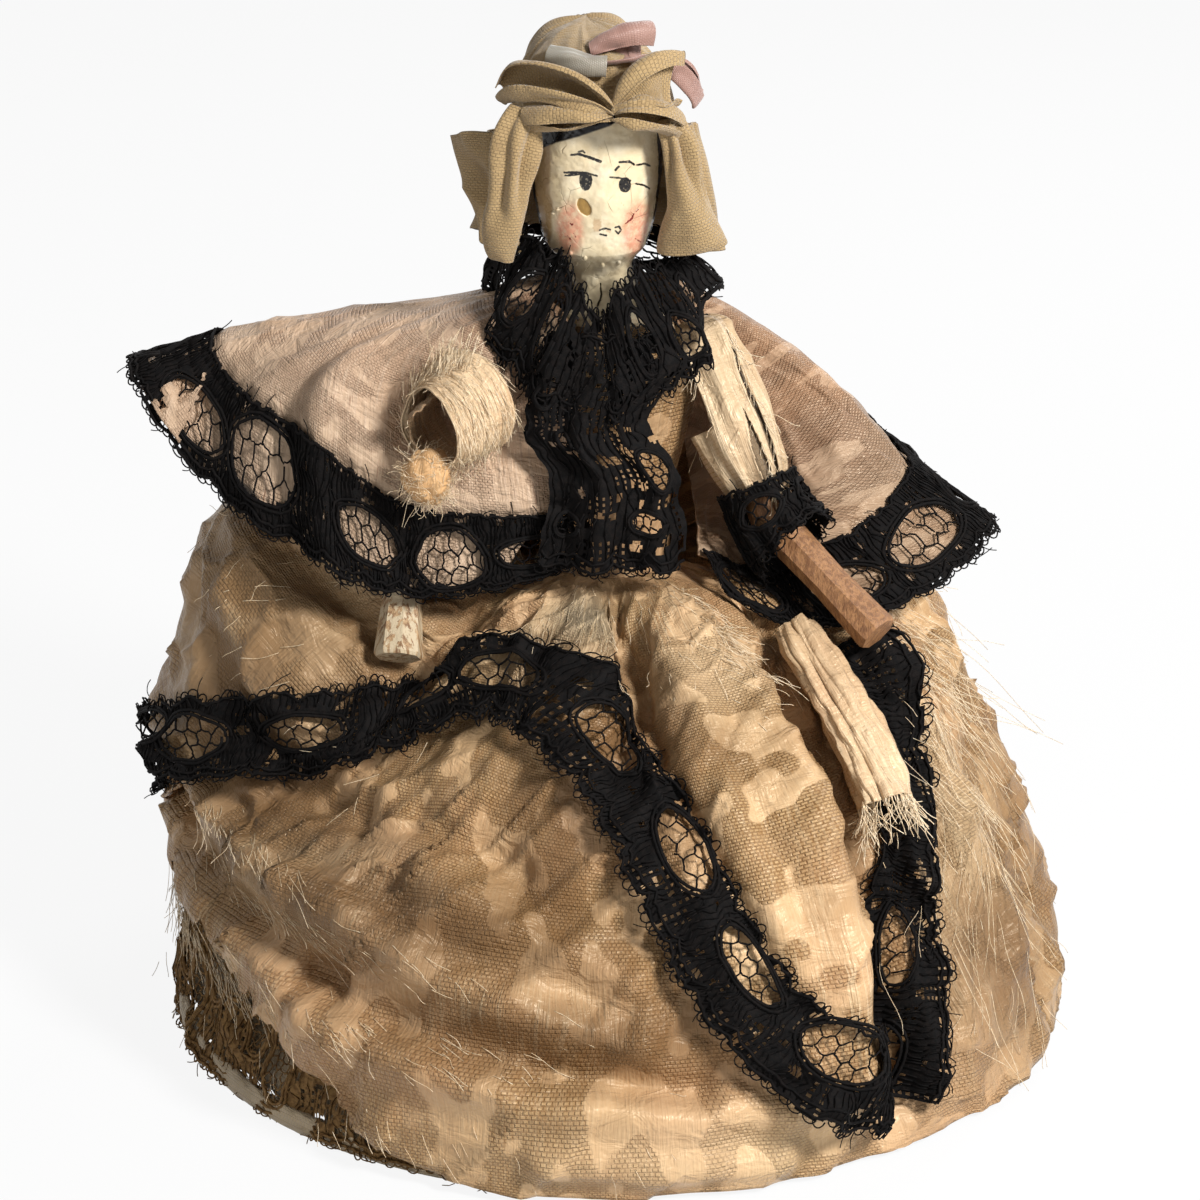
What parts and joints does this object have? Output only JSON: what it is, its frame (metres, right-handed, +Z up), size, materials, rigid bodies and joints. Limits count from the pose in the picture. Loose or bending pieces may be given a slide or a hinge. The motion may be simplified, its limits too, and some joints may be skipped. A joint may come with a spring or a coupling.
{
  "type": "wooden peg doll",
  "caption": "Small jointed wooden doll with pegged shoulders, elbows, hips and knees, in a wide silk dress, lace-edged mantle and ribboned bonnet, standing on its petticoat hem.",
  "frame": {"origin": "on the floor under the middle of the neck, at the centre of the hem", "axes": "+Z up, -Y the way the doll faces, +X to the doll's left hand"},
  "size_m": [0.0881, 0.0856, 0.098],
  "materials": {
    "painted_wood": "off-white gesso, worn and cracked",
    "brown_wood": "old bare pine",
    "pale_wood": "bare wood with traces of white paint",
    "peg_wood": "whittled peg",
    "gold_silk": "silk brocade, shattered in places",
    "pale_silk": "pale silk brocade with a satin figure",
    "linen": "stiff plain cloth",
    "net_lace": "brown net lace",
    "black_lace": "black bobbin lace",
    "bonnet_silk": "thin plain silk",
    "pink_ribbon": "faded pink satin ribbon",
    "blue_ribbon": "faded pale blue satin ribbon"
  },
  "bodies": {
    "root": {"head_and_torso": "painted_wood", "shoulder_peg_left": "peg_wood", "shoulder_peg_right": "peg_wood", "hip_peg": "peg_wood", "skirt": "gold_silk", "petticoat": "linen", "petticoat_lace": "net_lace", "hem_band": "linen", "overskirt": "pale_silk", "overskirt_lace": "black_lace", "overskirt_lace_rise": "black_lace", "sash_tail": "pale_silk", "bodice": "gold_silk", "mantle_back": "gold_silk", "mantle_lace_back": "black_lace", "jabot_lace": "black_lace", "collar_lace": "black_lace", "bonnet_crown": "bonnet_silk", "bonnet_frill": "bonnet_silk", "bonnet_loop": "bonnet_silk", "bonnet_curtain": "bonnet_silk", "pink_ribbon_bow": "pink_ribbon", "blue_ribbon_roll": "blue_ribbon", "pink_ribbon_end": "pink_ribbon"},
    "arm_upper_left": {"upper_arm_left": "brown_wood", "sleeve_left": "pale_silk", "cuff_lace": "black_lace", "elbow_peg_left": "peg_wood"},
    "arm_lower_left": {"lower_arm_left": "brown_wood"},
    "arm_upper_right": {"upper_arm_right": "brown_wood", "sleeve_right": "gold_silk", "elbow_peg_right": "peg_wood", "mantle_wing": "gold_silk", "mantle_lace_wing": "black_lace", "silk_curl": "pale_silk"},
    "arm_lower_right": {"lower_arm_right": "pale_wood"},
    "leg_upper_left": {"thigh_left": "brown_wood", "knee_peg_left": "peg_wood"},
    "leg_lower_left": {"shin_left": "brown_wood"},
    "leg_upper_right": {"thigh_right": "brown_wood", "knee_peg_right": "peg_wood"},
    "leg_lower_right": {"shin_right": "brown_wood"}
  },
  "joints": [
    {"name": "shoulder_left", "type": "hinge", "parent": "root", "child": "arm_upper_left", "pos_m": [0.0088, 0, 0.0651], "axis": [-0.9135, 0, -0.4067], "range_deg": [0, 35]},
    {"name": "elbow_left", "type": "hinge", "parent": "arm_upper_left", "child": "arm_lower_left", "pos_m": [0.01529, -0.00613, 0.05052], "axis": [-0.6434, -0.7647, 0.0349], "range_deg": [0, 70], "deforming": ["cuff_lace"]},
    {"name": "shoulder_right", "type": "hinge", "parent": "root", "child": "arm_upper_right", "pos_m": [-0.0088, 0, 0.0651], "axis": [-0.832, 0, 0.5548], "range_deg": [0, 40], "deforming": ["mantle_wing", "mantle_lace_wing", "silk_curl"]},
    {"name": "elbow_right", "type": "hinge", "parent": "arm_upper_right", "child": "arm_lower_right", "pos_m": [-0.01814, -0.00297, 0.05109], "axis": [-0.5754, -0.633, 0.5179], "range_deg": [0, 50]},
    {"name": "hip_left", "type": "hinge", "parent": "root", "child": "leg_upper_left", "pos_m": [0.0043, 0, 0.0361], "axis": [-1, 0, 0], "range_deg": [-25, 50]},
    {"name": "knee_left", "type": "hinge", "parent": "leg_upper_left", "child": "leg_lower_left", "pos_m": [0.0043, 0, 0.0196], "axis": [1, 0, 0], "range_deg": [0, 70]},
    {"name": "hip_right", "type": "hinge", "parent": "root", "child": "leg_upper_right", "pos_m": [-0.0043, 0, 0.0361], "axis": [-1, 0, 0], "range_deg": [-25, 50]},
    {"name": "knee_right", "type": "hinge", "parent": "leg_upper_right", "child": "leg_lower_right", "pos_m": [-0.0043, 0, 0.0196], "axis": [1, 0, 0], "range_deg": [0, 70]}
  ]
}
